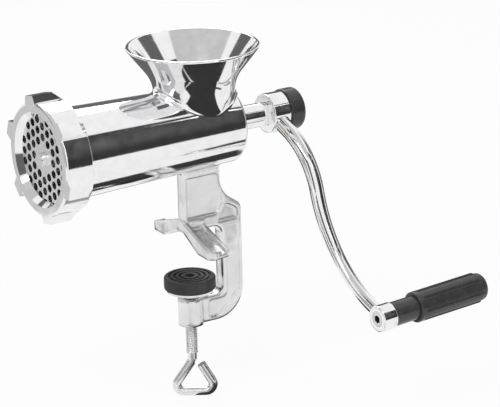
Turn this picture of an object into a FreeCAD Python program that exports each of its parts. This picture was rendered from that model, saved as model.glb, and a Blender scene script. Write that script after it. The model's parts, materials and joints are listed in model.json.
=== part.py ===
import FreeCAD, Part
import math
import os
import types
import Sketcher

# Hand crank meat grinder with a table clamp.
# The barrel runs along X with the cutting plate at -X and the crank at +X, and Z is up.
# The origin is on the table top, on the axis of the clamp screw. Sizes are in millimetres.

SIZES = {
    # casting: barrel
    "axis_height": 78.1,          # barrel axis above the table top
    "back_x": 33.0,               # back face of the barrel
    "barrel_length": 136.5,       # mouth to back face
    "front_radius": 29.9,         # barrel behind the ring nut
    "back_radius": 26.3,
    "barrel_wall": 3.4,
    "back_wall": 8.0,
    "back_rounding": 2.5,
    "mouth_radius": 34.2,         # threaded mouth under the ring nut
    "mouth_length": 12.0,
    # casting: hopper
    "hopper_x": 8.0,
    "rim_radius": 44.8,
    "rim_height": 56.5,           # above the barrel axis, as are the next two
    "knee_height": 35.5,
    "blend_height": 30.0,
    "knee_radius": 28.5,
    "neck_radius": 20.7,          # neck cone carried down to the barrel axis
    "flare_bend": 26.0,
    "hopper_wall": 2.8,
    "rim_rounding": 1.0,
    "bend_clear": 1.0,            # room kept between the flare's bend and the barrel
    "neck_blend": 3.5,
    "form_room": 9.0,             # barrel's form carried past the rim while the neck is blended to it
    # casting: leg, jaw and clamp frame
    "frame_thickness": 10.0,
    "column_front": 4.8,          # distances ahead of and behind the screw axis
    "column_back": 23.2,
    "spine_inside": 23.3,
    "spine_outside": 39.3,
    "shelf_height": 32.0,         # sloping shoulder where the leg widens to the spine
    "shelf_fall": 10.5,
    "shelf_bend": 18.0,
    "shelf_corner": 8.0,
    "jaw_height": 9.0,            # underside of the jaw above the table top
    "arm_top": 38.4,              # lower arm below the table top
    "arm_bottom": 56.8,
    "boss_front": 7.5,
    "boss_radius": 8.5,
    "arm_corner": 21.0,
    "throat_corner": 6.0,
    "frame_rounding": 1.8,
    "leg_blend": 3.0,
    "rim_width": 3.0,             # raised rims round the hollowed sides
    "leg_hollow_depth": 1.4,
    "shoulder_hollow_depth": 2.2,
    "spine_hollow_depth": 0.7,
    "hollow_corner": 4.0,
    # casting: jaw with two feet
    "jaw_turn": -4.0,             # the jaw is set a little askew of the barrel
    "jaw_front": 6.0,
    "jaw_back": 10.5,
    "crown_half": 5.0,
    "foot_reach": 42.5,           # front corner of a toe from the middle plane
    "back_reach": 38.0,
    "foot_flat": 18.5,            # length of the sole along Y
    "front_toe_rounding": 4.5,
    "back_toe_rounding": 2.5,
    "front_rim": 3.0,
    "front_rim_root": 16.2,       # top of the front rim at the leg and at the toe
    "front_rim_toe": 4.6,
    "back_rim": 2.5,
    "back_rim_root": 12.4,
    "back_rim_toe": 3.0,
    "foot_floor_root": 11.0,
    "foot_floor_toe": 2.2,
    "toe_wall": 2.6,
    # plate, key and ring nut
    "plate_radius": 31.0,
    "plate_thickness": 7.0,
    "plate_proud": 2.0,           # plate ahead of the mouth
    "plate_hole": 2.65,
    "plate_pitch": 7.2,
    "plate_rim": 1.6,
    "key_radius": 2.0,
    "key_length": 8.0,
    "key_place": 28.9,
    "ring_radius": 37.2,
    "ring_length": 19.5,
    "ring_lip": 4.0,
    "window_radius": 28.0,
    "window_bevel": 3.0,
    "ring_edge": 1.6,
    "ring_back_edge": 0.8,
    "lug_slope": 5.0,             # length over which a lug runs out at the back
    "lug_count": 6,
    "lug_radius": 41.5,
    "lug_top": 9.5,
    "lug_base": 13.5,
    "lug_turn": 18.0,
    # auger, knife and bearings
    "shaft_radius": 8.0,
    "shaft_end_x": 62.4,          # shoulder that the crank hub seats on
    "flat_start_x": 58.0,
    "flat_half": 4.4,
    "tenon_radius": 7.4,
    "tenon_length": 11.0,
    "tenon_half": 4.4,
    "core_front": 14.0,
    "core_back": 11.0,
    "flight_thickness": 4.0,
    "flight_root": 7.0,
    "flight_pitch": 34.0,
    "flight_gap": 1.0,
    "flight_sunk": 2.0,           # root of the flight below the core's thin end
    "pin_radius": 4.3,
    "pin_proud": 3.5,
    "square_half": 5.5,
    "knife_thickness": 8.0,
    "knife_hub_radius": 10.5,
    "knife_reach": 24.0,
    "knife_arm": 9.0,
    "knife_tip": 6.0,
    "bush_radius": 11.0,
    "bush_flange": 14.5,
    "bush_flange_thickness": 1.5,
    "washer_radius": 13.0,
    "washer_thickness": 1.5,
    # crank
    "hub_radius": 13.2,
    "hub_length": 13.1,
    "hub_edge": 0.8,
    "arm_start": 8.0,             # arm's root from the hub axis
    "arm_drop": 25.5,             # heading of the root below level
    "arm_straight": 13.2,
    "arm_bend": 50.4,
    "arm_bend_angle": 52.6,
    "arm_return": 90.5,
    "arm_return_angle": 58.4,
    "arm_end": 9.7,
    "arm_lean": 3.2,              # the arm leans back, away from the hopper
    "arm_socket": 5.4,            # arm's end from the eye's axis
    "arm_root_radius": 5.6,
    "arm_waist_radius": 4.8,
    "arm_tip_radius": 4.2,
    # grip
    "eye_radius": 8.8,
    "eye_length": 10.9,
    "eye_edge": 0.8,
    "eye_pin_radius": 1.1,
    "eye_pin_length": 3.6,
    "eye_pin_place": 2.7,         # from the eye's back face
    "eye_pin_turn": 20.0,
    "screw_radius": 3.0,
    "screw_length": 16.0,
    "screw_head_radius": 5.0,
    "screw_head_height": 4.5,
    "screw_socket": 2.5,          # half the width of the hexagon across its flats
    "screw_socket_depth": 2.7,
    "axle_radius": 4.5,
    "axle_head_radius": 6.4,
    "axle_head": 2.5,
    "grip_length": 75.7,
    "grip_neck_radius": 8.1,
    "grip_neck_length": 18.8,
    "grip_radius": 10.3,
    "grip_shoulder": 2.0,
    "grip_end_radius": 9.2,
    "grip_end_length": 5.0,
    "grip_flutes": 8,
    "flute_radius": 1.5,
    "flute_depth": 1.2,
    "flute_start": 4.0,
    "cap_plug_radius": 6.9,
    "cap_depth": 4.0,
    "cap_crown": 2.5,
    # knob
    "knob_radius": 14.1,
    "knob_length": 11.7,
    "knob_edge": 2.0,
    "knob_back_edge": 3.0,
    "stud_radius": 3.0,
    "stud_length": 13.0,
    "stud_seat": 7.0,
    "stud_room": 1.5,
    # clamp screw and pad
    "clamp_gap": 22.7,            # pad's top below the table top, clamp open
    "pad_radius": 17.3,
    "pad_height": 9.0,
    "pad_edge": 1.6,
    "pad_hole": 3.2,
    "clip_pocket_radius": 5.2,
    "clip_pocket_depth": 3.5,
    "groove_count": 3,
    "groove_width": 1.5,
    "groove_depth": 1.2,
    "groove_pitch": 3.4,
    "pad_plate_radius": 15.5,
    "pad_plate_thickness": 1.6,
    "journal_radius": 2.6,
    "clip_radius": 4.5,
    "clip_thickness": 1.2,
    "clamp_screw_radius": 4.0,
    "thread_end": 76.9,           # end of the thread below the table top
    "rod_radius": 3.0,
    "handle_turn": -32.0,
    "handle_neck": 6.0,
    "handle_height": 28.5,
    "handle_left": 15.5,
    "handle_right": 17.0,
    "handle_end_side": 6.0,
    "handle_end_height": 19.5,
    "handle_bend": 5.0,
    # clearances
    "running_fit": 0.06,
    "thread_fit": 0.1,
    "slip_fit": 0.15,
    "face_gap": 0.05,
}


class Size:
    """A number together with the spreadsheet formula that gives it."""

    def __init__(self, value, text):
        self.value = float(value)
        self.text = text

    def __float__(self):
        return self.value

    def __neg__(self):
        return Size(-self.value, f"(-1 * {self.text})")

    def __add__(self, other):
        other = as_size(other)
        return Size(self.value + other.value, f"({self.text} + {other.text})")

    def __sub__(self, other):
        other = as_size(other)
        return Size(self.value - other.value, f"({self.text} - {other.text})")

    def __mul__(self, other):
        other = as_size(other)
        return Size(self.value * other.value, f"({self.text} * {other.text})")

    def __truediv__(self, other):
        other = as_size(other)
        return Size(self.value / other.value, f"({self.text} / {other.text})")

    def __radd__(self, other):
        return as_size(other) + self

    def __rsub__(self, other):
        return as_size(other) - self

    def __rmul__(self, other):
        return as_size(other) * self


def as_size(number):
    return number if isinstance(number, Size) else Size(number, repr(float(number)))


def sine(angle):
    return Size(math.sin(math.radians(angle.value)), f"sin({angle.text})")


def cosine(angle):
    return Size(math.cos(math.radians(angle.value)), f"cos({angle.text})")


def tangent(angle):
    return Size(math.tan(math.radians(angle.value)), f"tan({angle.text})")


def smaller(one, other):
    return Size(min(one.value, other.value), f"min({one.text}; {other.text})")


def square_root(size):
    return Size(math.sqrt(size.value), f"sqrt({size.text})")


def slope_angle(rise, run):
    return Size(math.degrees(math.atan2(float(rise), float(run))), f"atan({rise.text} / {run.text})")


doc = FreeCAD.newDocument("meat_grinder")
sheet = doc.addObject("Spreadsheet::Sheet", "Sizes")
d = types.SimpleNamespace()
for row, (alias, number) in enumerate(SIZES.items(), start=1):
    sheet.set(f"A{row}", alias)
    sheet.set(f"B{row}", str(number))
    sheet.setAlias(f"B{row}", alias)
    setattr(d, alias, Size(number, f"Sizes.{alias}"))
doc.recompute()

ZERO = Size(0, "0")
SEAM_ROOM = 0.05                  # how far the middle of a seam may lie from the barrel's cone
RIM_SHARE = 0.95                  # most of the rim's width that its two roundings may take
parts = []


def bind(thing, prop, size):
    thing.setExpression(prop, as_size(size).text)


def place(thing, x=ZERO, y=ZERO, z=ZERO):
    for axis, size in zip("xyz", (x, y, z)):
        bind(thing, f"Placement.Base.{axis}", size)


def new_body(label, x=ZERO, y=ZERO, z=ZERO):
    body = doc.addObject("PartDesign::Body", label)
    body.Label = label
    place(body, x, y, z)
    parts.append(body)
    return body


def origin_plane(body, role):
    return [item for item in body.Origin.OriginFeatures if item.Role == role][0]


def new_sketch(body, plane, name, offset=None):
    sketch = body.newObject("Sketcher::SketchObject", name)
    sketch.AttachmentSupport = (origin_plane(body, plane), [""])
    sketch.MapMode = "FlatFace"
    if offset is not None:
        bind(sketch, "AttachmentOffset.Base.z", offset)
    return sketch


def pin_point(sketch, geometry, end, x, y):
    """Hold one point of a sketch at x and y from its origin."""
    for kind, axis, size in (("DistanceX", -2, x), ("DistanceY", -1, y)):
        if size is ZERO:
            sketch.addConstraint(Sketcher.Constraint("PointOnObject", geometry, end, axis))
        else:
            spot = sketch.addConstraint(Sketcher.Constraint(kind, -1, 1, geometry, end, float(size)))
            bind(sketch, f"Constraints[{spot}]", size)


def polygon(sketch, points):
    """Add a closed outline; each corner is held by two sizes and may have a radius as its third."""
    corners = [tuple(as_size(size) for size in point) for point in points]
    first = sketch.GeometryCount
    count = len(corners)
    spots = [FreeCAD.Vector(float(corner[0]), float(corner[1]), 0) for corner in corners]
    for index in range(count):
        sketch.addGeometry(Part.LineSegment(spots[index], spots[(index + 1) % count]), False)
    for index in range(count):
        follower = first + (index + 1) % count
        sketch.addConstraint(Sketcher.Constraint("Coincident", first + index, 2, follower, 1))
    for index, corner in enumerate(corners):
        pin_point(sketch, first + index, 1, corner[0], corner[1])
    sketch.solve()
    for index, corner in enumerate(corners):
        if len(corner) == 3:
            round_corner(sketch, first + index, corner[2])
    return sketch


def round_corner(sketch, geometry, radius):
    arc = sketch.GeometryCount
    sketch.fillet(geometry, 1, float(radius), True, True)
    rule = sketch.addConstraint(Sketcher.Constraint("Radius", arc, float(radius)))
    bind(sketch, f"Constraints[{rule}]", radius)


def route(sketch, points):
    """Add an open line through the points; a point's third size is the radius of its bend."""
    corners = [tuple(as_size(size) for size in point) for point in points]
    spots = [FreeCAD.Vector(float(corner[0]), float(corner[1]), 0) for corner in corners]
    last = len(corners) - 2
    for index in range(last + 1):
        sketch.addGeometry(Part.LineSegment(spots[index], spots[index + 1]), False)
        pin_point(sketch, index, 1, corners[index][0], corners[index][1])
    pin_point(sketch, last, 2, corners[-1][0], corners[-1][1])
    for index in range(last):
        sketch.addConstraint(Sketcher.Constraint("Coincident", index, 2, index + 1, 1))
    sketch.solve()
    for index, corner in enumerate(corners):
        if len(corner) == 3:
            round_corner(sketch, index, corner[2])


def circle(sketch, x, y, radius):
    spot = sketch.addGeometry(
        Part.Circle(FreeCAD.Vector(float(x), float(y), 0), FreeCAD.Vector(0, 0, 1), float(radius)), False)
    pin_point(sketch, spot, 3, x, y)
    rule = sketch.addConstraint(Sketcher.Constraint("Radius", spot, float(radius)))
    bind(sketch, f"Constraints[{rule}]", radius)


def feature(body, kind, name, sketch):
    item = body.newObject(f"PartDesign::{kind}", name)
    item.Profile = sketch
    sketch.Visibility = False
    return item


def revolve(body, name, points, axis="H_Axis", cut=False):
    """Turn an outline in the XZ plane about one of its axes."""
    sketch = polygon(new_sketch(body, "XZ_Plane", f"{name}_profile"), points)
    turned = feature(body, "Groove" if cut else "Revolution", name, sketch)
    turned.ReferenceAxis = (sketch, [axis])
    turned.Angle = 360
    doc.recompute()
    return turned


def extrude(body, name, sketch, length, both_sides=False, reverse=False, cut=False):
    raised = feature(body, "Pocket" if cut else "Pad", name, sketch)
    bind(raised, "Length", length)
    if both_sides:
        raised.SideType = "Symmetric"
    raised.Reversed = reverse
    doc.recompute()
    return raised


def dress(body, kind, name, size, chosen):
    """Round or bevel the edges of the body for which chosen(edge) is true."""
    base = body.Tip
    names = [f"Edge{index}" for index, edge in enumerate(base.Shape.Edges, start=1) if chosen(edge)]
    if not names:
        raise RuntimeError(f"{name}: no edge found")
    item = body.newObject(f"PartDesign::{kind}", name)
    item.Base = (base, names)
    bind(item, "Radius" if kind == "Fillet" else "Size", size)
    doc.recompute()
    return item


def pattern(body, name, original, axis, count):
    item = body.newObject("PartDesign::PolarPattern", name)
    item.Originals = [original]
    item.Axis = axis
    item.Angle = 360
    bind(item, "Occurrences", count)
    body.Tip = item
    doc.recompute()
    return item


def mirror(body, name, originals, plane):
    item = body.newObject("PartDesign::Mirrored", name)
    item.Originals = originals
    item.MirrorPlane = (origin_plane(body, plane), [""])
    body.Tip = item
    doc.recompute()
    return item


def near(a, b, room=0.02):
    return abs(float(a) - float(b)) < room


def middle(edge):
    return edge.valueAt(0.5 * (edge.FirstParameter + edge.LastParameter))


def ring_edge(axis, station, radius):
    """Pick a full circle about the body's own X or Z axis."""
    def chosen(edge):
        if not isinstance(edge.Curve, Part.Circle):
            return False
        centre = edge.Curve.Center
        return near(getattr(centre, axis), station) and near(edge.Curve.Radius, radius)
    return chosen


# places along X shared by the pieces
mouth_x = d.back_x - d.barrel_length
shoulder_x = mouth_x + d.mouth_length
plate_front_x = mouth_x - d.plate_proud
plate_back_x = plate_front_x + d.plate_thickness
ring_front_x = plate_front_x - d.ring_lip
inside_back_x = d.back_x - d.back_wall
knife_front_x = plate_back_x + d.face_gap
knife_back_x = knife_front_x + d.knife_thickness
hub_front_x = d.shaft_end_x
hub_back_x = hub_front_x + d.hub_length
arm_x = hub_front_x + d.hub_length / 2
barrel_slope = (d.back_radius - d.front_radius) / (d.back_x - shoulder_x)
plate_pocket = d.plate_radius + d.slip_fit


def barrel_radius(x):
    """Outside radius of the tapered barrel at a place along X."""
    return d.front_radius + barrel_slope * (x - shoulder_x)


def barrel_form(body, name, start_x, end_x, shift, cut=False):
    """The barrel's outside as a solid cone, used to seat what is cast onto it."""
    return revolve(body, name, [
        (start_x - shift, ZERO),
        (start_x - shift, barrel_radius(start_x)),
        (end_x - shift, barrel_radius(end_x)),
        (end_x - shift, ZERO)], cut=cut)


def make_barrel():
    body = new_body("barrel", z=d.axis_height)
    revolve(body, "barrel_outside", [
        (mouth_x, ZERO), (mouth_x, d.mouth_radius),
        (shoulder_x, d.mouth_radius), (shoulder_x, d.front_radius),
        (d.back_x, d.back_radius), (d.back_x, ZERO)])
    dress(body, "Fillet", "back_round", d.back_rounding, ring_edge("x", d.back_x, d.back_radius))
    bore_front = barrel_radius(plate_back_x) - d.barrel_wall
    bore_back = barrel_radius(inside_back_x) - d.barrel_wall
    bush_hole = d.bush_radius
    revolve(body, "bore", [
        (mouth_x, ZERO), (mouth_x, plate_pocket),
        (plate_back_x, plate_pocket), (plate_back_x, bore_front),
        (inside_back_x, bore_back), (inside_back_x, bush_hole),
        (d.back_x, bush_hole), (d.back_x, ZERO)], cut=True)
    throat = new_sketch(body, "XY_Plane", "throat_outline")
    circle(throat, d.hopper_x, ZERO, throat_radius())
    extrude(body, "throat", throat, d.rim_height, reverse=True, cut=True)
    key = new_sketch(body, "YZ_Plane", "key_outline", offset=plate_back_x)
    circle(key, ZERO, -d.key_place, d.key_radius)
    extrude(body, "key_hole", key, d.key_length - d.plate_thickness / 2, reverse=True, cut=True)


def neck_slope():
    return (d.knee_radius - d.neck_radius) / d.knee_height


def throat_radius():
    """Radius of the throat where it passes the top of the barrel."""
    return d.neck_radius + neck_slope() * (d.back_radius - d.barrel_wall) - d.hopper_wall


def flare_angle():
    """Lean of the flare from the upright."""
    return slope_angle(d.rim_radius - d.knee_radius, d.rim_height - d.knee_height)


def flare_bend():
    """Bend from neck to flare, no larger than the neck above the barrel has room for."""
    neck = slope_angle(d.knee_radius - d.neck_radius, d.knee_height)
    room = d.knee_height - barrel_radius(d.hopper_x - d.knee_radius) - d.bend_clear
    return smaller(d.flare_bend, room / (tangent((flare_angle() - neck) / 2) * cosine(neck)))


def rim_rounding():
    """Rounding of both edges of the rim, which has to leave some of the wall between them."""
    return smaller(d.rim_rounding, RIM_SHARE * d.hopper_wall * cosine(flare_angle()) / 2)


def make_hopper():
    body = new_body("hopper", x=d.hopper_x, z=d.axis_height)
    bend = flare_bend()
    rounding = rim_rounding()
    reach = d.rim_radius + d.form_room
    start_x = d.hopper_x - reach
    end_x = d.hopper_x + reach
    barrel_form(body, "barrel_form", start_x, end_x, d.hopper_x)
    revolve(body, "trumpet", [
        (ZERO, ZERO), (d.neck_radius, ZERO), (d.knee_radius, d.knee_height, bend),
        (d.rim_radius, d.rim_height, rounding), (ZERO, d.rim_height)], axis="V_Axis")

    def seam(edge):
        spot = middle(edge)
        on_barrel = barrel_radius(d.hopper_x + spot.x)
        on_seam = near(math.hypot(spot.y, spot.z), on_barrel, SEAM_ROOM)
        return on_seam and isinstance(edge.Curve, Part.BSplineCurve)

    dress(body, "Fillet", "neck_blend", d.neck_blend, seam)
    barrel_form(body, "barrel_seat", start_x, end_x, d.hopper_x, cut=True)
    inside = throat_radius()
    revolve(body, "funnel", [
        (ZERO, ZERO), (inside, ZERO), (inside, d.back_radius - d.barrel_wall),
        (d.knee_radius - d.hopper_wall, d.knee_height, bend),
        (d.rim_radius - d.hopper_wall, d.rim_height), (ZERO, d.rim_height)], axis="V_Axis", cut=True)
    dress(body, "Fillet", "rim_inner", rounding,
          ring_edge("z", d.rim_height, d.rim_radius - d.hopper_wall))
    back = polygon(new_sketch(body, "XZ_Plane", "back_outline"), [
        (d.back_x - d.hopper_x, ZERO), (reach, ZERO), (reach, d.blend_height),
        (d.back_x - d.hopper_x, d.blend_height)])
    extrude(body, "flush_back", back, 2 * reach, both_sides=True, cut=True)


def make_clamp_frame():
    body = new_body("clamp_frame", z=d.axis_height)
    half = d.frame_thickness / 2
    front = -d.column_front
    form_start = front - d.frame_thickness
    form_end = d.column_back + d.frame_thickness

    def level(height):
        return height - d.axis_height

    outline = polygon(new_sketch(body, "XZ_Plane", "frame_outline"), [
        (front, -d.barrel_wall), (front, level(d.jaw_height)),
        (d.spine_inside, level(d.jaw_height), d.throat_corner),
        (d.spine_inside, level(-d.arm_top), d.throat_corner),
        (-d.boss_front, level(-d.arm_top)), (-d.boss_front, level(-d.arm_bottom)),
        (d.spine_outside, level(-d.arm_bottom), d.arm_corner),
        (d.spine_outside, level(d.shelf_height - d.shelf_fall), d.shelf_corner),
        (d.column_back, level(d.shelf_height), d.shelf_bend), (d.column_back, -d.barrel_wall)])
    extrude(body, "frame", outline, d.frame_thickness, both_sides=True)
    dress(body, "Fillet", "frame_edges", d.frame_rounding, lambda edge: near(abs(middle(edge).y), half))
    barrel_form(body, "barrel_form", form_start, form_end, ZERO)

    def seam(edge):
        spot = middle(edge)
        on_barrel = near(math.hypot(spot.y, spot.z), barrel_radius(as_size(spot.x)), SEAM_ROOM)
        by_leg = float(front - d.leg_blend) < spot.x < float(d.column_back + d.leg_blend)
        return on_barrel and spot.z < 0 and by_leg

    dress(body, "Fillet", "leg_blend", d.leg_blend, seam)
    boss = new_sketch(body, "XY_Plane", "boss_outline", offset=level(-d.arm_bottom))
    circle(boss, ZERO, ZERO, d.boss_radius)
    extrude(body, "boss", boss, d.arm_bottom - d.arm_top)
    hole = new_sketch(body, "XY_Plane", "screw_outline", offset=level(-d.arm_bottom))
    circle(hole, ZERO, ZERO, d.clamp_screw_radius + d.running_fit)
    extrude(body, "screw_hole", hole, d.arm_bottom - d.arm_top, reverse=True, cut=True)
    make_hollows(body, level, front)
    joined = body.newObject("PartDesign::Boolean", "jaw_joined")
    joined.Type = "Fuse"
    joined.setObjects([make_jaw()])
    body.Tip = joined
    doc.recompute()
    barrel_form(body, "barrel_seat", form_start, form_end, ZERO, cut=True)


def make_jaw():
    """Two feet spread to the sides over an arch, hollowed on top between a front and a back rim.

    It is set in the casting's own frame, whose origin is on the barrel's axis.
    """
    body = doc.addObject("PartDesign::Body", "jaw")
    place(body, z=-d.axis_height)
    body.Placement.Rotation = FreeCAD.Rotation(FreeCAD.Vector(0, 0, 1), float(d.jaw_turn))
    bind(body, "Placement.Rotation.Angle", d.jaw_turn)
    reach = d.foot_reach
    top = d.front_rim_root
    plan = polygon(new_sketch(body, "XY_Plane", "plan_outline"), [
        (-d.jaw_front, -reach, d.front_toe_rounding), (d.jaw_back, -d.back_reach, d.back_toe_rounding),
        (d.jaw_back, d.back_reach, d.back_toe_rounding), (-d.jaw_front, reach, d.front_toe_rounding)])
    extrude(body, "plan", plan, top)

    def cut_across(name, outlines, start, width):
        sketch = new_sketch(body, "YZ_Plane", f"{name}_outline", offset=start)
        for outline in outlines:
            polygon(sketch, outline)
        extrude(body, name, sketch, width, reverse=True, cut=True)

    def above(root, toe, end):
        """The space over a line that falls from the leg to the toe, on both sides."""
        return [[(side * d.crown_half, root), (side * end, toe), (side * end, top),
                 (side * d.crown_half, top)] for side in (-1, 1)]

    whole = d.jaw_front + d.jaw_back
    sole = reach - d.foot_flat
    cut_across("arch", [[
        (-sole, ZERO), (-d.crown_half, d.jaw_height), (d.crown_half, d.jaw_height), (sole, ZERO)]],
        -d.jaw_front, whole)
    cut_across("fall", [[
        (side * d.crown_half, top), (side * reach, d.front_rim_toe), (side * reach, top)]
        for side in (-1, 1)], -d.jaw_front, whole)
    hollow_start = d.front_rim - d.jaw_front
    cut_across("hollow", above(d.foot_floor_root, d.foot_floor_toe, reach - d.toe_wall),
               hollow_start, whole - d.front_rim - d.back_rim)
    cut_across("low_back_rim", above(d.back_rim_root, d.back_rim_toe, reach),
               d.jaw_back - d.back_rim, d.back_rim)
    return body


def make_hollows(body, level, front):
    """Hollow both sides of the leg, the shoulder and the spine, leaving raised rims."""
    half = d.frame_thickness / 2
    rim = d.rim_width
    corner = d.hollow_corner

    def hollow(name, depth, points):
        sketch = polygon(new_sketch(body, "XZ_Plane", f"{name}_outline", offset=half - depth), points)
        pocket = extrude(body, name, sketch, half, reverse=True, cut=True)
        mirror(body, f"{name}_far", [pocket], "XZ_Plane")

    shelf_low = d.shelf_height - d.shelf_fall
    leg_bottom = d.front_rim_root + rim / 2
    hollow("leg_hollow", d.leg_hollow_depth, [
        (front + rim / 2, level(leg_bottom)), (d.column_back - rim, level(leg_bottom), corner),
        (d.column_back + rim / 3, level(shelf_low + rim), corner),
        (d.column_back - rim / 2, -(d.back_radius + 2 * rim), corner),
        (front + rim / 2, -(d.back_radius + 2 * rim))])
    hollow("shoulder_hollow", d.shoulder_hollow_depth, [
        (d.spine_inside - rim, level(d.jaw_height + rim)),
        (d.spine_outside - rim, level(d.jaw_height + rim), corner / 2),
        (d.spine_outside - rim, level(shelf_low - rim), corner),
        (d.spine_inside + 2 * rim, level(shelf_low + rim / 2)),
        (d.spine_inside + rim, level(shelf_low + rim / 2))])
    bottom = level(rim - d.arm_bottom)
    hollow("spine_hollow", d.spine_hollow_depth, [
        (d.spine_inside + rim, level(d.jaw_height)), (d.spine_outside - rim, level(d.jaw_height)),
        (d.spine_outside - rim, level(-d.arm_top)), (d.spine_outside - d.arm_corner, bottom, corner),
        (d.boss_radius + rim, bottom, corner / 2),
        (d.boss_radius + rim, level(-d.arm_top - rim), corner / 2),
        (d.spine_inside + rim, level(-d.arm_top - rim), corner)])


def make_bearings():
    body = new_body("rear_bush", z=d.axis_height)
    inner = d.shaft_radius + d.running_fit
    flange_x = inside_back_x - d.bush_flange_thickness
    revolve(body, "bush", [
        (flange_x, inner), (flange_x, d.bush_flange), (inside_back_x, d.bush_flange),
        (inside_back_x, d.bush_radius), (d.back_x, d.bush_radius), (d.back_x, inner)])
    body = new_body("thrust_washer", z=d.axis_height)
    washer_x = flange_x - d.face_gap
    revolve(body, "washer", [
        (washer_x - d.washer_thickness, d.shaft_radius), (washer_x - d.washer_thickness, d.washer_radius),
        (washer_x, d.washer_radius), (washer_x, d.shaft_radius)])


def make_auger():
    body = new_body("auger", z=d.axis_height)
    collar_x = inside_back_x - d.bush_flange_thickness - d.face_gap - d.washer_thickness
    tenon_x = d.shaft_end_x + d.tenon_length
    revolve(body, "core", [
        (plate_front_x - d.pin_proud, ZERO), (plate_front_x - d.pin_proud, d.pin_radius),
        (knife_front_x, d.pin_radius), (knife_back_x, d.pin_radius), (knife_back_x, d.core_front),
        (collar_x, d.core_back), (collar_x, d.shaft_radius), (d.shaft_end_x, d.shaft_radius),
        (d.shaft_end_x, d.tenon_radius), (tenon_x, d.tenon_radius), (tenon_x, ZERO)])
    square = new_sketch(body, "YZ_Plane", "square_outline", offset=knife_front_x)
    side = d.square_half - d.slip_fit
    polygon(square, [(-side, -side), (side, -side), (side, side), (-side, side)])
    extrude(body, "knife_square", square, d.knife_thickness)
    start_x = knife_back_x + d.face_gap
    tip = barrel_radius(start_x) - d.barrel_wall - d.flight_gap
    thick = d.flight_thickness
    root = d.flight_root
    flight = polygon(new_sketch(body, "XZ_Plane", "flight_profile"), [
        (start_x, d.core_back - d.flight_sunk), (start_x + (root - thick) / 2, tip),
        (start_x + (root + thick) / 2, tip), (start_x + root, d.core_back - d.flight_sunk)])
    screw = feature(body, "AdditiveHelix", "flight", flight)
    screw.ReferenceAxis = (flight, ["H_Axis"])
    screw.Mode = "pitch-height-angle"
    bind(screw, "Pitch", d.flight_pitch)
    bind(screw, "Height", collar_x - start_x - root - d.washer_thickness)
    bind(screw, "Angle", slope_angle(d.back_radius - d.front_radius, d.back_x - shoulder_x))
    screw.LeftHanded = True
    doc.recompute()
    flats = (("visible_flat", d.flat_start_x, d.shaft_end_x - d.flat_start_x, d.flat_half),
             ("tenon_flat", d.shaft_end_x, d.tenon_length, d.tenon_half))
    for name, start, length, half in flats:
        sketch = new_sketch(body, "YZ_Plane", f"{name}_outline", offset=start)
        wide = d.shaft_radius + half
        for side in (-1, 1):
            polygon(sketch, [
                (half * side, -wide), (wide * side, -wide), (wide * side, wide), (half * side, wide)])
        extrude(body, name, sketch, length, reverse=True, cut=True)
    depth = d.stud_length + d.stud_room - d.hub_length + d.tenon_length
    hole = new_sketch(body, "YZ_Plane", "stud_outline", offset=tenon_x - depth)
    circle(hole, ZERO, ZERO, d.stud_radius + d.thread_fit)
    extrude(body, "stud_hole", hole, depth, reverse=True, cut=True)


def make_knife():
    body = new_body("knife", z=d.axis_height)
    half = d.knife_arm / 2
    tip = d.knife_tip / 2
    sketch = new_sketch(body, "YZ_Plane", "arm_outline", offset=knife_front_x)
    hub = d.knife_hub_radius
    circle(sketch, ZERO, ZERO, hub)
    extrude(body, "hub", sketch, d.knife_thickness)
    sketch = new_sketch(body, "YZ_Plane", "blade_outline", offset=knife_front_x)
    polygon(sketch, [(-half, ZERO), (half, ZERO), (tip, d.knife_reach), (-tip, d.knife_reach)])
    blade = extrude(body, "blade", sketch, d.knife_thickness)
    pattern(body, "blades", blade, (sketch, ["N_Axis"]), Size(4, "4"))
    hole = new_sketch(body, "YZ_Plane", "hole_outline", offset=knife_front_x)
    side = d.square_half
    polygon(hole, [(-side, -side), (side, -side), (side, side), (-side, side)])
    extrude(body, "square_hole", hole, d.knife_thickness, reverse=True, cut=True)


def make_plate():
    body = new_body("cutting_plate", z=d.axis_height)
    disc = new_sketch(body, "YZ_Plane", "disc_outline", offset=plate_front_x)
    circle(disc, ZERO, ZERO, d.plate_radius)
    extrude(body, "disc", disc, d.plate_thickness)
    holes = new_sketch(body, "YZ_Plane", "hole_outline", offset=plate_front_x)
    circle(holes, ZERO, ZERO, d.pin_radius + d.running_fit)
    pitch = d.plate_pitch
    column = pitch * math.sqrt(3) / 2
    furthest = float(d.plate_radius - d.plate_rim - d.plate_hole)
    closest = float(d.pin_radius + d.plate_hole + d.plate_rim)
    reach = int(float(d.plate_radius / column)) + 1
    key_room = float(d.key_radius + d.plate_hole + d.plate_rim / 2)
    for across in range(-reach, reach + 1):
        for up in range(-reach, reach + 1):
            shift = 0.5 * (across % 2)
            y = column * across if across else ZERO
            z = pitch * (up + shift) if up + shift else ZERO
            away = math.hypot(float(y), float(z))
            clear_of_key = math.hypot(float(y), float(z + d.key_place)) > key_room
            if closest < away < furthest and clear_of_key:
                circle(holes, y, z, d.plate_hole)
    extrude(body, "holes", holes, d.plate_thickness, reverse=True, cut=True)
    notch = new_sketch(body, "YZ_Plane", "notch_outline", offset=plate_front_x)
    room = d.key_radius + d.slip_fit
    polygon(notch, [
        (-room, -d.plate_radius - room), (room, -d.plate_radius - room),
        (room, room - d.key_place), (-room, room - d.key_place)])
    extrude(body, "notch", notch, d.plate_thickness, reverse=True, cut=True)
    key = doc.addObject("Part::Cylinder", "plate_key")
    key.Label = "plate_key"
    bind(key, "Radius", d.key_radius)
    bind(key, "Height", d.key_length)
    key.Placement.Rotation = FreeCAD.Rotation(FreeCAD.Vector(0, 1, 0), 90)
    place(key, plate_back_x - d.plate_thickness / 2, ZERO, d.axis_height - d.key_place)
    parts.append(key)


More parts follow.
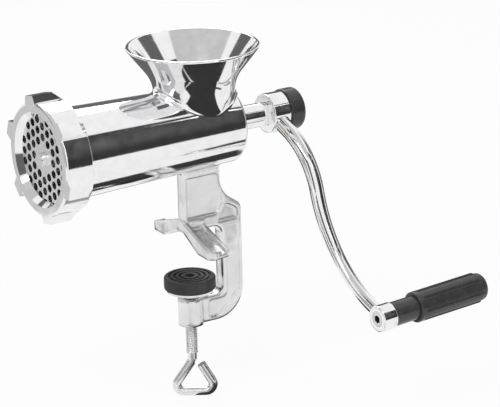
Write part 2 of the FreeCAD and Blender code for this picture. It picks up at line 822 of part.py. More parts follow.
def make_ring_nut():
    body = new_body("ring_nut", z=d.axis_height)
    back_x = ring_front_x + d.ring_length
    inner = d.mouth_radius + d.thread_fit
    revolve(body, "ring", [
        (ring_front_x, d.window_radius + d.window_bevel), (ring_front_x, d.ring_radius, d.ring_edge),
        (back_x, d.ring_radius, d.ring_back_edge), (back_x, inner), (plate_front_x, inner),
        (plate_front_x, d.window_radius)])
    sketch = new_sketch(body, "YZ_Plane", "lug_outline", offset=ring_front_x)
    bind(sketch, "AttachmentOffset.Rotation.Angle", d.lug_turn)
    seat = d.ring_radius - d.ring_edge
    polygon(sketch, [
        (seat, -d.lug_base / 2), (d.lug_radius, -d.lug_top / 2), (d.lug_radius, d.lug_top / 2),
        (seat, d.lug_base / 2)])
    lug = extrude(body, "lug", sketch, d.ring_length)
    pattern(body, "lugs", lug, (sketch, ["N_Axis"]), d.lug_count)
    clear = d.lug_radius + d.lug_slope
    revolve(body, "lug_run_out", [
        (back_x - d.lug_slope, d.lug_radius), (back_x, d.ring_radius),
        (back_x + d.lug_slope, d.ring_radius), (back_x + d.lug_slope, clear),
        (back_x - d.lug_slope, clear)], cut=True)


def make_crank_hub():
    body = new_body("crank_hub", z=d.axis_height)
    revolve(body, "hub", [
        (hub_front_x, ZERO), (hub_front_x, d.hub_radius), (hub_back_x, d.hub_radius), (hub_back_x, ZERO)])
    for name, station in (("front_edge", hub_front_x), ("back_edge", hub_back_x)):
        dress(body, "Fillet", name, d.hub_edge, ring_edge("x", station, d.hub_radius))
    slot = new_sketch(body, "YZ_Plane", "slot_outline", offset=hub_front_x)
    side = d.tenon_half + d.running_fit
    tall = d.tenon_radius + d.running_fit
    polygon(slot, [(-side, -tall), (side, -tall), (side, tall), (-side, tall)])
    extrude(body, "slot", slot, d.hub_length, reverse=True, cut=True)
    drill = doc.addObject("PartDesign::Body", "arm_hole")
    place(drill, x=lean_x)
    lean(drill)
    spoke(drill, "drill", "Revolution", ZERO, 180 + d.arm_drop, d.arm_start - d.face_gap,
          d.hub_radius + d.arm_start, d.arm_root_radius + d.running_fit)
    drilled = body.newObject("PartDesign::Boolean", "arm_hole_drilled")
    drilled.Type = "Cut"
    drilled.setObjects([drill])
    body.Tip = drilled
    doc.recompute()


def spoke(body, name, kind, x, turn, start, end, radius):
    """A round rod or hole in the plane of the arm, pointing out of a hub or eye."""
    sketch = new_sketch(body, "YZ_Plane", f"{name}_profile", offset=x)
    bind(sketch, "AttachmentOffset.Rotation.Angle", turn)
    polygon(sketch, [(start, ZERO), (end, ZERO), (end, radius), (start, radius)])
    turned = feature(body, kind, name, sketch)
    turned.ReferenceAxis = (sketch, ["H_Axis"])
    turned.Angle = 360
    doc.recompute()


def arm_path():
    """Centre line of the crank arm in its own plane: straight, bend, return bend, straight."""
    first = d.arm_drop
    second = d.arm_drop + d.arm_bend_angle
    third = second - d.arm_return_angle

    def along(spot, angle, length):
        return (spot[0] - cosine(angle) * length, spot[1] - sine(angle) * length)

    def turned(spot, start, stop, radius):
        across = (sine(stop) - sine(start)) * radius
        up = (cosine(stop) - cosine(start)) * radius
        return (spot[0] - across, spot[1] + up)

    root = along((ZERO, ZERO), first, d.arm_start)
    bend_start = along(root, first, d.arm_straight)
    bend_middle = turned(bend_start, first, first + d.arm_bend_angle / 2, d.arm_bend)
    waist = turned(bend_start, first, second, d.arm_bend)
    return_middle = turned(waist, second, second - d.arm_return_angle / 2, -d.arm_return)
    return_end = turned(waist, second, third, -d.arm_return)
    tip = along(return_end, third, d.arm_end - d.arm_socket)
    eye = along(return_end, third, d.arm_end)
    return root, bend_start, bend_middle, waist, return_middle, return_end, tip, eye


ARM = arm_path()
eye_y, eye_z = ARM[-1]
arm_chord = square_root(eye_y * eye_y + eye_z * eye_z)
# the leaning arm passes through the middle of the hub's rim
lean_x = arm_x - d.hub_radius * sine(d.arm_lean)
# stations along the grip's axis, from the middle of the eye
eye_front_x = -d.eye_length / 2
eye_back_x = d.eye_length / 2
grip_front_x = eye_back_x + d.face_gap
grip_end_x = grip_front_x + d.grip_length - d.grip_end_length
pocket_x = grip_end_x - d.cap_depth - d.axle_head - 2 * d.face_gap


def lean(body):
    """Turn a body with the leaning arm, about a line square to its chord."""
    body.Placement.Rotation = FreeCAD.Rotation(
        FreeCAD.Vector(0, float(eye_z), -float(eye_y)), float(d.arm_lean))
    bind(body, "Placement.Rotation.Axis.y", eye_z / arm_chord)
    bind(body, "Placement.Rotation.Axis.z", -eye_y / arm_chord)
    bind(body, "Placement.Rotation.Angle", d.arm_lean)


def eye_body(label):
    """A body in the leaning frame of the grip, whose origin is the middle of the eye."""
    body = new_body(label, x=lean_x + arm_chord * sine(d.arm_lean), y=eye_y * cosine(d.arm_lean),
                    z=d.axis_height + eye_z * cosine(d.arm_lean))
    lean(body)
    return body


def make_crank_arm():
    body = new_body("crank_arm", x=lean_x, z=d.axis_height)
    lean(body)
    root, bend_start, bend_middle, waist, return_middle, return_end, tip, eye = ARM
    path = new_sketch(body, "YZ_Plane", "arm_path")

    def spot(point):
        return FreeCAD.Vector(float(point[0]), float(point[1]), 0)

    def hold_ends(index, start, stop):
        """Pin both ends of a line or arc; an arc that runs clockwise has its ends the other way round."""
        from_first, from_second = [(path.getPoint(index, end) - spot(start)).Length for end in (1, 2)]
        swapped = from_first > from_second
        pin_point(path, index, 2 if swapped else 1, *start)
        pin_point(path, index, 1 if swapped else 2, *stop)

    def hold_arc(start, between, stop, radius):
        index = path.addGeometry(Part.Arc(spot(start), spot(between), spot(stop)), False)
        hold_ends(index, start, stop)
        size = path.addConstraint(Sketcher.Constraint("Radius", index, float(radius)))
        bind(path, f"Constraints[{size}]", radius)

    hold_ends(path.addGeometry(Part.LineSegment(spot(root), spot(bend_start)), False), root, bend_start)
    hold_arc(bend_start, bend_middle, waist, d.arm_bend)
    hold_arc(waist, return_middle, return_end, d.arm_return)
    hold_ends(path.addGeometry(Part.LineSegment(spot(return_end), spot(tip)), False), return_end, tip)
    doc.recompute()
    sections = []
    for name, edge, along, radius in (("root_section", "Edge1", 0.0, d.arm_root_radius),
                                      ("waist_section", "Edge2", 1.0, d.arm_waist_radius),
                                      ("tip_section", "Edge4", 1.0, d.arm_tip_radius)):
        section = body.newObject("Sketcher::SketchObject", name)
        section.AttachmentSupport = (path, [edge])
        section.MapMode = "NormalToEdge"
        section.MapPathParameter = along
        circle(section, ZERO, ZERO, radius)
        sections.append(section)
    doc.recompute()
    rod = feature(body, "AdditivePipe", "rod", sections[0])
    rod.Spine = (path, ["Edge1", "Edge2", "Edge3", "Edge4"])
    rod.Sections = sections[1:]
    rod.Transformation = "Multisection"
    doc.recompute()


def make_grip_eye():
    body = eye_body("grip_eye")
    revolve(body, "eye", [
        (eye_front_x, ZERO), (eye_front_x, d.eye_radius, d.eye_edge),
        (eye_back_x, d.eye_radius, d.eye_edge), (eye_back_x, ZERO)])
    seat_x = eye_front_x + d.screw_head_height + d.face_gap
    revolve(body, "screw_hole", [
        (eye_front_x, ZERO), (eye_front_x, d.screw_head_radius + d.slip_fit),
        (seat_x, d.screw_head_radius + d.slip_fit), (seat_x, d.screw_radius + d.running_fit),
        (eye_back_x, d.screw_radius + d.running_fit), (eye_back_x, ZERO)], cut=True)
    arrival = d.arm_drop + d.arm_bend_angle - d.arm_return_angle
    outside = d.eye_radius + d.arm_socket
    spoke(body, "arm_hole", "Groove", ZERO, arrival, d.arm_socket - d.face_gap, outside,
          d.arm_tip_radius + d.running_fit)
    pin_x = eye_back_x - d.eye_pin_place
    pin_start = d.eye_radius - d.eye_pin_length
    turn = 180 + d.eye_pin_turn
    spoke(body, "pin_hole", "Groove", pin_x, turn, pin_start, outside, d.eye_pin_radius + d.running_fit)
    pin = eye_body("eye_pin")
    spoke(pin, "pin", "Revolution", pin_x, turn, pin_start, d.eye_radius, d.eye_pin_radius)
    screw = eye_body("grip_screw")
    head_x = eye_front_x + d.screw_head_height
    revolve(screw, "screw", [
        (eye_front_x, ZERO), (eye_front_x, d.screw_head_radius), (head_x, d.screw_head_radius),
        (head_x, d.screw_radius), (head_x + d.screw_length, d.screw_radius),
        (head_x + d.screw_length, ZERO)])
    socket = new_sketch(screw, "YZ_Plane", "socket_outline", offset=eye_front_x)
    half = d.screw_socket
    corner = half * 2 / math.sqrt(3)
    polygon(socket, [
        (half, corner / 2), (ZERO, corner), (-half, corner / 2),
        (-half, -corner / 2), (ZERO, -corner), (half, -corner / 2)])
    extrude(screw, "socket", socket, d.screw_socket_depth, reverse=True, cut=True)


def make_grip():
    axle = eye_body("grip_axle")
    head_x = pocket_x + d.face_gap
    hole_end = eye_front_x + d.screw_head_height + d.screw_length + d.stud_room
    revolve(axle, "axle", [
        (eye_back_x, ZERO), (eye_back_x, d.axle_radius), (head_x, d.axle_radius),
        (head_x, d.axle_head_radius), (head_x + d.axle_head, d.axle_head_radius),
        (head_x + d.axle_head, ZERO)])
    revolve(axle, "thread_hole", [
        (eye_back_x, ZERO), (eye_back_x, d.screw_radius + d.running_fit),
        (hole_end, d.screw_radius + d.running_fit), (hole_end, ZERO)], cut=True)
    body = eye_body("grip")
    collar_x = grip_front_x + d.grip_neck_length
    bore = d.axle_radius + d.running_fit
    revolve(body, "sleeve", [
        (grip_front_x, bore), (grip_front_x, d.grip_neck_radius), (collar_x, d.grip_neck_radius),
        (collar_x, d.grip_radius, d.grip_shoulder / 2), (grip_end_x, d.grip_radius, d.grip_shoulder / 2),
        (grip_end_x, d.cap_plug_radius), (pocket_x, d.cap_plug_radius), (pocket_x, bore)])
    flute = new_sketch(body, "YZ_Plane", "flute_outline", offset=collar_x + d.flute_start)
    circle(flute, ZERO, d.grip_radius + d.flute_radius - d.flute_depth, d.flute_radius)
    groove = extrude(body, "flute", flute, d.grip_length, reverse=True, cut=True)
    pattern(body, "flutes", groove, (flute, ["N_Axis"]), d.grip_flutes)
    cap = eye_body("grip_end_cap")
    plug_x = grip_end_x - d.cap_depth
    revolve(cap, "cap", [
        (plug_x, ZERO), (plug_x, d.cap_plug_radius), (grip_end_x, d.cap_plug_radius),
        (grip_end_x, d.grip_end_radius), (grip_end_x + d.grip_end_length, d.grip_end_radius, d.cap_crown),
        (grip_end_x + d.grip_end_length, ZERO)])


def make_knob():
    body = new_body("knob", z=d.axis_height)
    front_x = hub_back_x + d.face_gap
    back_x = front_x + d.knob_length
    seat_x = front_x + d.stud_seat
    revolve(body, "knob_form", [
        (front_x, d.stud_radius), (front_x, d.knob_radius, d.knob_edge / 2),
        (back_x, d.knob_radius, d.knob_back_edge), (back_x, ZERO), (seat_x, ZERO), (seat_x, d.stud_radius)])
    stud = new_body("knob_stud", z=d.axis_height)
    start_x = hub_back_x - d.stud_length
    revolve(stud, "stud", [
        (start_x, ZERO), (start_x, d.stud_radius), (seat_x, d.stud_radius), (seat_x, ZERO)])


# heights of the clamp's pad and screw, below the table top
pad_top = -d.clamp_gap
pad_bottom = pad_top - d.pad_height
pad_plate_bottom = pad_bottom - d.pad_plate_thickness
clip_bottom = pad_bottom + d.face_gap
clip_top = clip_bottom + d.clip_thickness
journal_top = clip_top + d.clip_thickness / 2


def make_pad():
    pad = new_body("rubber_pad")
    low = pad_top - d.groove_depth
    profile = [
        (d.clip_pocket_radius, pad_bottom), (d.pad_radius, pad_bottom, d.pad_edge),
        (d.pad_radius, pad_top, d.pad_edge)]
    for ring in reversed(range(SIZES["groove_count"])):
        middle_radius = d.groove_pitch * (ring + 2)
        outer = middle_radius + d.groove_width / 2
        inner = middle_radius - d.groove_width / 2
        profile += [(outer, pad_top), (outer, low), (inner, low), (inner, pad_top)]
    pocket_top = pad_bottom + d.clip_pocket_depth
    profile += [(d.pad_hole, pad_top), (d.pad_hole, pocket_top), (d.clip_pocket_radius, pocket_top)]
    revolve(pad, "pad", profile, axis="V_Axis")
    plate = new_body("pad_plate")
    bore = d.journal_radius + d.running_fit
    revolve(plate, "plate", [
        (bore, pad_plate_bottom), (d.pad_plate_radius, pad_plate_bottom),
        (d.pad_plate_radius, pad_bottom), (bore, pad_bottom)], axis="V_Axis")
    clip = new_body("pad_clip")
    revolve(clip, "clip", [
        (d.journal_radius, clip_bottom), (d.clip_radius, clip_bottom),
        (d.clip_radius, clip_top), (d.journal_radius, clip_top)], axis="V_Axis")


def make_clamp_screw():
    body = new_body("clamp_screw")
    shoulder = pad_plate_bottom - d.face_gap
    revolve(body, "screw", [
        (ZERO, -d.thread_end), (d.clamp_screw_radius, -d.thread_end), (d.clamp_screw_radius, shoulder),
        (d.journal_radius, shoulder), (d.journal_radius, journal_top), (ZERO, journal_top)], axis="V_Axis")
    handle = new_body("clamp_handle")
    handle.Placement.Rotation = FreeCAD.Rotation(FreeCAD.Vector(0, 0, 1), float(d.handle_turn))
    bind(handle, "Placement.Rotation.Angle", d.handle_turn)
    top = -d.thread_end
    low = top - d.handle_height
    path = new_sketch(handle, "XZ_Plane", "rod_path")
    route(path, [
        (ZERO, top), (ZERO, top - d.handle_neck, d.handle_bend), (-d.handle_left, low, d.handle_bend),
        (d.handle_right, low, d.handle_bend), (d.handle_end_side, low + d.handle_end_height)])
    section = new_sketch(handle, "XY_Plane", "rod_section", offset=top)
    circle(section, ZERO, ZERO, d.rod_radius)
    doc.recompute()
    rod = feature(handle, "AdditivePipe", "rod", section)
    rod.Spine = (path, [f"Edge{index}" for index in range(1, len(path.Shape.Edges) + 1)])
    doc.recompute()


def check_and_export():
    doc.recompute()
    failed = [item.Label for item in doc.Objects if "Invalid" in item.State or "Error" in item.State]
    failed += [part.Label for part in parts if part.Shape.isNull() or not part.Shape.isValid()]
    if failed:
        raise RuntimeError("failed: " + ", ".join(failed))
    os.makedirs("parts", exist_ok=True)
    for part in parts:
        part.Shape.exportStep(f"parts/{part.Label}.step")


make_barrel()
make_hopper()
make_clamp_frame()
make_bearings()
make_auger()
make_knife()
make_plate()
make_ring_nut()
make_crank_hub()
make_crank_arm()
make_grip_eye()
make_grip()
make_knob()
make_pad()
make_clamp_screw()
check_and_export()
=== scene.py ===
import json
import math

import bpy
from mathutils import Matrix, Vector


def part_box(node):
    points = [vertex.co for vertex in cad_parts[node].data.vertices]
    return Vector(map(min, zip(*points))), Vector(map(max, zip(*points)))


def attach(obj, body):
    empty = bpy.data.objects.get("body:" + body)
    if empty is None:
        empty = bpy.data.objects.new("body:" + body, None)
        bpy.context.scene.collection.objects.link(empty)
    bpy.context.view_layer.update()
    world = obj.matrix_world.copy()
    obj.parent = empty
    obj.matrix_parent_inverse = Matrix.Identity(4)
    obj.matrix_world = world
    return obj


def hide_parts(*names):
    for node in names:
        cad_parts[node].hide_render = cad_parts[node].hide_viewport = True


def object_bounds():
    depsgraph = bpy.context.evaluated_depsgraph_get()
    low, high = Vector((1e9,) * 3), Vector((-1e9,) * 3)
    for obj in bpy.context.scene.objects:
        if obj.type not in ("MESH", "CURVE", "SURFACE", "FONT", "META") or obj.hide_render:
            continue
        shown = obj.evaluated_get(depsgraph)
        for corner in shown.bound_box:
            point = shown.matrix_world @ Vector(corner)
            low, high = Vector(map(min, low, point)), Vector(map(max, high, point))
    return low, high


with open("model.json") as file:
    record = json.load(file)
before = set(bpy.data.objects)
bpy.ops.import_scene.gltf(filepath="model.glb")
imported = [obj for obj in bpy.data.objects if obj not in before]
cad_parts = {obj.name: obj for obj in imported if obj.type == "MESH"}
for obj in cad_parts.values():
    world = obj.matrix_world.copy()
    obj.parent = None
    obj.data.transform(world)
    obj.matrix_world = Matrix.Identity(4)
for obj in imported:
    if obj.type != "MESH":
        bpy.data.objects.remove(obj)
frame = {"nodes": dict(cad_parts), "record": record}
cad_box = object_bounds()
nodes = frame["nodes"]
scene = bpy.context.scene
MM = 0.001


# materials

# noise values at which a finish reaches its dark and its light end
NOISE_LOW = 0.3
NOISE_HIGH = 0.7
WORN_EDGE = 3.0 * MM


class Nodes:
    """Small helper that adds and links the nodes of one material."""

    def __init__(self, name):
        self.material = bpy.data.materials.new(name)
        self.material.use_nodes = True
        self.tree = self.material.node_tree
        self.shader = self.tree.nodes["Principled BSDF"]
        self.place = self.tree.nodes.new("ShaderNodeTexCoord").outputs["Object"]

    def add(self, kind, inputs=(), **settings):
        """A new node with its settings made and its inputs fed."""
        node = self.tree.nodes.new(kind)
        for key, value in settings.items():
            setattr(node, key, value)
        for socket, value in dict(inputs).items():
            self.feed(node.inputs[socket], value)
        return node

    def feed(self, socket, value):
        """Link the socket to another one, or give it a plain value."""
        if isinstance(value, bpy.types.NodeSocket):
            self.tree.links.new(value, socket)
        else:
            socket.default_value = value

    def stretched(self, scale):
        """Places scaled axis by axis: a small scale draws the marks out along that axis."""
        return self.add("ShaderNodeMapping", {"Vector": self.place, "Scale": scale}).outputs["Vector"]

    def noise(self, scale, detail, roughness=0.55, vector=None):
        noise = self.add("ShaderNodeTexNoise", {
            "Vector": vector or self.place, "Scale": scale, "Detail": detail, "Roughness": roughness})
        return noise.outputs["Fac"]

    def spread(self, value, low, high):
        """A noise value carried onto the range from low to high."""
        carried = self.add("ShaderNodeMapRange", {
            "Value": value, "From Min": NOISE_LOW, "From Max": NOISE_HIGH, "To Min": low, "To Max": high})
        return carried.outputs["Result"]

    def blend(self, value, dark, light):
        """A colour between dark and light, chosen by a noise value."""
        ramp = self.add("ShaderNodeValToRGB", {"Fac": value})
        for stop, spot, colour in zip(ramp.color_ramp.elements, (NOISE_LOW, NOISE_HIGH), (dark, light)):
            stop.position = spot
            stop.color = (*colour, 1.0)
        return ramp.outputs["Color"]

    def bump(self, heights, normal=None):
        """Bumps laid over each other: (height value, strength, distance in metres)."""
        for height, strength, distance in heights:
            node = self.add("ShaderNodeBump", {"Height": height, "Strength": strength, "Distance": distance})
            if normal is not None:
                self.feed(node.inputs["Normal"], normal)
            normal = node.outputs["Normal"]
        self.feed(self.shader.inputs["Normal"], normal)

    def surface(self, **inputs):
        """Feed the main shader. An underscore in an input's name stands for a space."""
        for socket, value in inputs.items():
            self.feed(self.shader.inputs[socket.replace("_", " ")], value)
        return self.material


def polished_metal():
    """Mirror polish with a slow wave, cloudy smears and fine scratches."""
    n = Nodes("polished_casting")
    wave = n.noise(scale=45.0, detail=2.0)
    cloud = n.noise(scale=160.0, detail=5.0)
    scratch = n.noise(scale=900.0, detail=3.0, vector=n.stretched((1.0, 0.12, 1.0)))
    n.bump([(wave, 0.06, 0.0012), (scratch, 0.05, 0.00004)])
    return n.surface(
        Base_Color=n.blend(cloud, (0.82, 0.82, 0.83), (0.9, 0.9, 0.905)),
        Metallic=1.0, Roughness=n.spread(cloud, 0.05, 0.11))


def satin_metal():
    """Tumbled casting with a wavy skin. Its edges are rounded in shading only."""
    n = Nodes("satin_casting")
    skin = n.noise(scale=420.0, detail=6.0, roughness=0.6)
    wave = n.noise(scale=40.0, detail=2.0)
    worn = n.add("ShaderNodeBevel", {"Radius": WORN_EDGE}, samples=8).outputs["Normal"]
    n.bump([(wave, 0.45, 0.003), (skin, 0.05, 0.0001)], worn)
    return n.surface(
        Base_Color=n.blend(wave, (0.72, 0.72, 0.73), (0.84, 0.84, 0.845)),
        Metallic=1.0, Roughness=n.spread(skin, 0.2, 0.27))


def bright_steel():
    """Bright steel with fine marks along X."""
    n = Nodes("steel")
    turned = n.noise(scale=1500.0, detail=2.0, vector=n.stretched((0.15, 1.0, 1.0)))
    cloud = n.noise(scale=220.0, detail=4.0)
    n.bump([(turned, 0.08, 0.00004)])
    return n.surface(
        Base_Color=n.blend(cloud, (0.72, 0.72, 0.73), (0.84, 0.84, 0.845)),
        Metallic=1.0, Roughness=n.spread(turned, 0.16, 0.3))


def turned_brass():
    """Brass with fine marks across X."""
    n = Nodes("brass")
    turned = n.noise(scale=1800.0, detail=2.0, vector=n.stretched((1.0, 0.2, 0.2)))
    n.bump([(turned, 0.1, 0.00004)])
    return n.surface(
        Base_Color=n.blend(turned, (0.62, 0.47, 0.22), (0.78, 0.63, 0.34)),
        Metallic=1.0, Roughness=n.spread(turned, 0.2, 0.34))


def painted_socket_shade():
    """Painted shade: dull black that stands for the shade deep in the screw's socket."""
    n = Nodes("painted_socket_shade")
    grain = n.noise(scale=2200.0, detail=4.0, roughness=0.6)
    n.bump([(grain, 0.15, 0.00005)])
    return n.surface(
        Base_Color=n.blend(grain, (0.01, 0.01, 0.011), (0.025, 0.025, 0.026)),
        Roughness=n.spread(grain, 0.55, 0.7))


def black_plastic():
    """Satin black with a fine grain."""
    n = Nodes("black_plastic")
    grain = n.noise(scale=2600.0, detail=3.0, roughness=0.6)
    cloud = n.noise(scale=120.0, detail=3.0)
    n.bump([(grain, 0.12, 0.00006)])
    return n.surface(
        Base_Color=n.blend(cloud, (0.03, 0.03, 0.031), (0.05, 0.05, 0.051)),
        Roughness=n.spread(cloud, 0.2, 0.3))


def black_rubber():
    """Matt black with a coarser grain."""
    n = Nodes("black_rubber")
    grain = n.noise(scale=1800.0, detail=5.0, roughness=0.65)
    dust = n.noise(scale=140.0, detail=5.0)
    n.bump([(grain, 0.3, 0.0001)])
    return n.surface(
        Base_Color=n.blend(dust, (0.018, 0.018, 0.019), (0.04, 0.04, 0.041)),
        Roughness=n.spread(grain, 0.5, 0.72))


MATERIALS = {
    "polished_casting": polished_metal(),
    "satin_casting": satin_metal(),
    "steel": bright_steel(),
    "brass": turned_brass(),
    # painted shade for the grip screw's socket
    "painted_socket_shade": painted_socket_shade(),
    "black_plastic": black_plastic(),
    "black_rubber": black_rubber(),
}


def finish_with(piece, slot):
    piece.data.materials.clear()
    piece.data.materials.append(MATERIALS[slot])


for subpart in frame["record"]["subparts"]:
    finish_with(nodes[subpart["node"]], subpart["material_slot"])


# meshes made here

def mesh_piece(name, points, faces, smooth=True):
    mesh = bpy.data.meshes.new(name)
    mesh.from_pydata(points, [], faces)
    mesh.validate()
    piece = bpy.data.objects.new(name, mesh)
    scene.collection.objects.link(piece)
    for face in mesh.polygons:
        face.use_smooth = smooth
    return piece


def threaded_rod(name, low, high, outside, root, pitch, runout):
    """A round rod about Z whose thread fades out at both ends."""
    sides = 40
    steps_per_turn = 8
    count = int((high - low) / pitch * steps_per_turn)
    points = []
    for row in range(count + 1):
        z = low + (high - low) * row / count
        depth = (outside - root) * min(1.0, (z - low) / runout, (high - z) / runout)
        for side in range(sides):
            angle = 2 * math.pi * side / sides
            phase = (z / pitch - side / sides) % 1.0
            radius = outside - depth * (1 - abs(2 * phase - 1))
            points.append((radius * math.cos(angle), radius * math.sin(angle), z))
    faces = [
        (row * sides + side, row * sides + (side + 1) % sides,
         (row + 1) * sides + (side + 1) % sides, (row + 1) * sides + side)
        for row in range(count) for side in range(sides)]
    faces.append(tuple(range(sides))[::-1])
    faces.append(tuple(count * sides + side for side in range(sides)))
    return mesh_piece(name, points, faces)


def lathe(name, profile, start, axis, sides=32):
    """A ring-shaped piece: (distance along the axis, radius) pairs turned about the axis."""
    turn = Vector((0.0, 0.0, 1.0)).rotation_difference(axis)
    points = []
    for along, radius in profile:
        for side in range(sides):
            angle = 2 * math.pi * side / sides
            points.append(start + turn @ Vector((radius * math.cos(angle), radius * math.sin(angle), along)))
    rows = len(profile)
    faces = [
        (row * sides + side, row * sides + (side + 1) % sides,
         (row + 1) % rows * sides + (side + 1) % sides, (row + 1) % rows * sides + side)
        for row in range(rows) for side in range(sides)]
    return mesh_piece(name, points, faces, smooth=False)


# clamp screw with its thread, and the journal above it with hardly visible grooves

THREAD_RADIUS = 3.98 * MM
THREAD_ROOT = 3.3 * MM
THREAD_PITCH = 1.25 * MM
THREAD_RUNOUT = 1.2 * MM
JOURNAL_LENGTH = 4.4 * MM
JOURNAL_RADIUS = 2.55 * MM
JOURNAL_ROOT = 2.5 * MM
screw_low, screw_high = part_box("clamp_screw")
thread_top = screw_high.z - JOURNAL_LENGTH
thread = threaded_rod(
    "clamp_screw_thread", screw_low.z, thread_top,
    THREAD_RADIUS, THREAD_ROOT, THREAD_PITCH, THREAD_RUNOUT)
journal = threaded_rod(
    "clamp_screw_journal", thread_top, screw_high.z,
    JOURNAL_RADIUS, JOURNAL_ROOT, THREAD_PITCH, THREAD_RUNOUT)
for rod in (thread, journal):
    finish_with(rod, "steel")
    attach(rod, "clamp_screw")
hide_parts("clamp_screw")


# painted shade: a dull black piece set in the grip screw's socket, from the screw's CAD sizes

SCREW_HEAD_RADIUS = 5.0 * MM
SOCKET_DEPTH = 2.7 * MM
SOCKET_HALF_WIDTH = 2.5 * MM
SOCKET_SHADE_START = 0.15 * MM
grip_spin = [joint for joint in frame["record"]["behaviour"]["joints"] if joint["name"] == "grip_spin"][0]
grip_axis = Vector(grip_spin["axis"]).normalized()
grip_spot = Vector(grip_spin["pos_m"])
face_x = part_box("grip_screw")[0].x + SCREW_HEAD_RADIUS * math.hypot(grip_axis.y, grip_axis.z)
socket_mouth = grip_spot + grip_axis * (face_x - grip_spot.x) / grip_axis.x
wall = 0.98 * SOCKET_HALF_WIDTH
inner_wall = 0.95 * wall
middle = 0.05 * wall
bottom = 0.98 * SOCKET_DEPTH
inner_bottom = 0.94 * SOCKET_DEPTH
socket_shade = lathe("grip_screw_socket_shade", [
    (SOCKET_SHADE_START, wall), (bottom, wall), (bottom, middle),
    (inner_bottom, middle), (inner_bottom, inner_wall), (SOCKET_SHADE_START, inner_wall)],
    socket_mouth, grip_axis)
# the dull black finish paints the shade inside the socket
finish_with(socket_shade, "painted_socket_shade")
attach(socket_shade, "crank")


# stage: floor, cards, lamps, camera

FLOOR_GAP = 0.4 * MM
FLOOR_Z = cad_box[0][2] - FLOOR_GAP
FLOOR_HALF = 6.0
# share of plain white in what the camera and the mirrors see of the floor
FLOOR_GLOW = 0.93
CARD_LIFT = 1.0 * MM
OVERHEAD = 1.1
ROOM_LIGHT = 0.45
LAMP_AIM = (0.02, -0.03, 0.03)
CAMERA_SPOT = (-0.9404, -1.5567, 0.6202)
CAMERA_RIGHT = (0.8393, -0.5431, -0.0249)
CAMERA_BACK = (-0.5099, -0.8023, 0.3105)
LENS = 208.8


def emitter(name, tone):
    """Evenly bright material of one grey tone."""
    material = bpy.data.materials.new(name)
    material.use_nodes = True
    tree = material.node_tree
    tree.nodes.clear()
    glow = tree.nodes.new("ShaderNodeEmission")
    glow.inputs["Color"].default_value = (tone, tone, tone, 1.0)
    tree.links.new(glow.outputs[0], tree.nodes.new("ShaderNodeOutputMaterial").inputs["Surface"])
    return material


def seen_directly(tree):
    """One for rays of the camera, of mirrors and through glass, else zero."""
    rays = tree.nodes.new("ShaderNodeLightPath")
    seen = rays.outputs["Is Camera Ray"]
    for kind in ("Is Glossy Ray", "Is Transmission Ray"):
        either = tree.nodes.new("ShaderNodeMath")
        either.operation = "MAXIMUM"
        tree.links.new(seen, either.inputs[0])
        tree.links.new(rays.outputs[kind], either.inputs[1])
        seen = either.outputs[0]
    return seen


def floor_material():
    """Pale floor that reads white to the camera and in reflections, and still takes a faint shadow."""
    material = bpy.data.materials.new("pale_floor")
    material.use_nodes = True
    tree = material.node_tree
    tree.nodes.clear()
    paint = tree.nodes.new("ShaderNodeBsdfDiffuse")
    paint.inputs["Color"].default_value = (0.85, 0.85, 0.85, 1.0)
    glow = tree.nodes.new("ShaderNodeEmission")
    share = tree.nodes.new("ShaderNodeMath")
    share.operation = "MULTIPLY"
    share.inputs[1].default_value = FLOOR_GLOW
    tree.links.new(seen_directly(tree), share.inputs[0])
    mix = tree.nodes.new("ShaderNodeMixShader")
    tree.links.new(share.outputs[0], mix.inputs["Fac"])
    tree.links.new(paint.outputs[0], mix.inputs[1])
    tree.links.new(glow.outputs[0], mix.inputs[2])
    tree.links.new(mix.outputs[0], tree.nodes.new("ShaderNodeOutputMaterial").inputs["Surface"])
    return material


def card(name, corners, material, mirrors_only=True):
    """A flat card of the stage. One held for the mirrors is unseen by the camera and casts no shadow."""
    piece = mesh_piece(name, corners, [tuple(range(len(corners)))], smooth=False)
    piece.data.materials.append(material)
    if mirrors_only:
        piece.visible_camera = False
        piece.visible_diffuse = False
        piece.visible_shadow = False


def level_card(name, left, right, near, far, height, material, mirrors_only=True):
    """A level card: left and right along X, near and far along Y."""
    corners = [(left, near, height), (right, near, height), (right, far, height), (left, far, height)]
    card(name, corners, material, mirrors_only)


def floor_card(name, left, right, near, far, material):
    """A card lying on the floor."""
    level_card(name, left, right, near, far, FLOOR_Z + CARD_LIFT, material)


def standing_card(name, start, end, low, high, material):
    """An upright card over the line from start to end."""
    card(name, [(*start, low), (*end, low), (*end, high), (*start, high)], material)


level_card("floor", -FLOOR_HALF, FLOOR_HALF, -FLOOR_HALF, FLOOR_HALF, FLOOR_Z, floor_material(),
           mirrors_only=False)
black = emitter("black_card", 0.04)
dark = emitter("dark_card", 0.14)
grey = emitter("grey_card", 0.36)
pale = emitter("pale_card", 0.62)

# the cards, by what mainly reflects them in the photo's view

# band along the barrel, ring nut, shaft and hub
standing_card("front_card", (0.2, -0.9), (1.6, -0.9), -0.1, 1.32, black)
# stripes down the crank arm
standing_card("right_card", (0.85, -0.25), (0.85, 0.3), -0.1, 0.4, dark)
standing_card("left_card", (-0.85, 0.25), (-0.55, 0.75), -0.1, 0.5, grey)
standing_card("far_left_card", (-1.0, -0.15), (-0.9, 0.2), -0.1, 0.3, grey)
standing_card("arm_card", (-1.3, -0.55), (-0.95, -1.0), -0.1, 0.9, dark)
# underside of the barrel and of the ring nut, and stripes in the clamp handle
floor_card("under_card", 0.0, 0.14, -0.06, 0.04, black)
floor_card("ring_floor_card", -0.09, 0.0, -0.11, -0.02, grey)
# face of the ring nut and of the cutting plate
floor_card("far_floor_card", -0.75, -0.3, 0.4, 0.9, pale)
# dark patch on the front of the hopper
level_card("hopper_card", -0.024, 0.022, -0.08, -0.0265, 0.088, black)
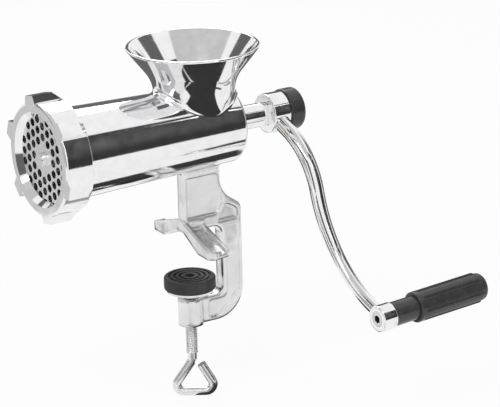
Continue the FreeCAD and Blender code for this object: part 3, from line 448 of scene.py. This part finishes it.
# inside of the hopper: its middle, then its left and its right
level_card("overhead_card", -1.2, 0.35, -1.0, 0.6, OVERHEAD, pale)
level_card("overhead_right_card", 1.0, 2.2, -0.6, 0.2, OVERHEAD, dark)
level_card("overhead_left_card", -1.4, -0.4, 1.2, 3.0, OVERHEAD, dark)
# left side of the hopper, then the top edges of the barrel, the hub and the hopper's rim
floor_card("back_floor_card", -0.1, 0.75, 0.2, 1.2, dark)
standing_card("back_card", (0.2, 1.5), (1.7, 1.5), -0.1, 1.0, dark)


def lamp(name, spot, size, power):
    """A square lamp aimed at the part."""
    light = bpy.data.lights.new(name, "AREA")
    light.energy = power
    light.size = size
    piece = bpy.data.objects.new(name, light)
    scene.collection.objects.link(piece)
    piece.location = spot
    piece.rotation_euler = (Vector(LAMP_AIM) - Vector(spot)).to_track_quat("-Z", "Y").to_euler()


lamp("key_lamp", spot=(-0.9, -0.5, 1.2), size=0.7, power=9.0)
lamp("fill_lamp", spot=(0.6, -1.2, 0.7), size=0.8, power=5.0)
lamp("back_lamp", spot=(0.4, 1.0, 1.1), size=0.8, power=8.0)

world = bpy.data.worlds.new("white_room")
scene.world = world
world.use_nodes = True
tree = world.node_tree
tree.nodes.clear()
room_light = tree.nodes.new("ShaderNodeBackground")
room_light.inputs["Strength"].default_value = ROOM_LIGHT
white = tree.nodes.new("ShaderNodeBackground")
white.inputs["Color"].default_value = (1.0, 1.0, 1.0, 1.0)
white.inputs["Strength"].default_value = 1.0
mix = tree.nodes.new("ShaderNodeMixShader")
tree.links.new(seen_directly(tree), mix.inputs["Fac"])
tree.links.new(room_light.outputs[0], mix.inputs[1])
tree.links.new(white.outputs[0], mix.inputs[2])
tree.links.new(mix.outputs[0], tree.nodes.new("ShaderNodeOutputWorld").inputs["Surface"])

camera = bpy.data.objects.new("camera", bpy.data.cameras.new("camera"))
scene.collection.objects.link(camera)
camera.data.sensor_width = 36.0
camera.data.lens = LENS
camera.data.clip_start = 0.05
right = Vector(CAMERA_RIGHT).normalized()
back = Vector(CAMERA_BACK).normalized()
up = back.cross(right).normalized()
turn = Matrix((right, up, back)).transposed()
camera.matrix_world = Matrix.Translation(CAMERA_SPOT) @ turn.to_4x4()
scene.camera = camera
scene.view_settings.view_transform = "Standard"
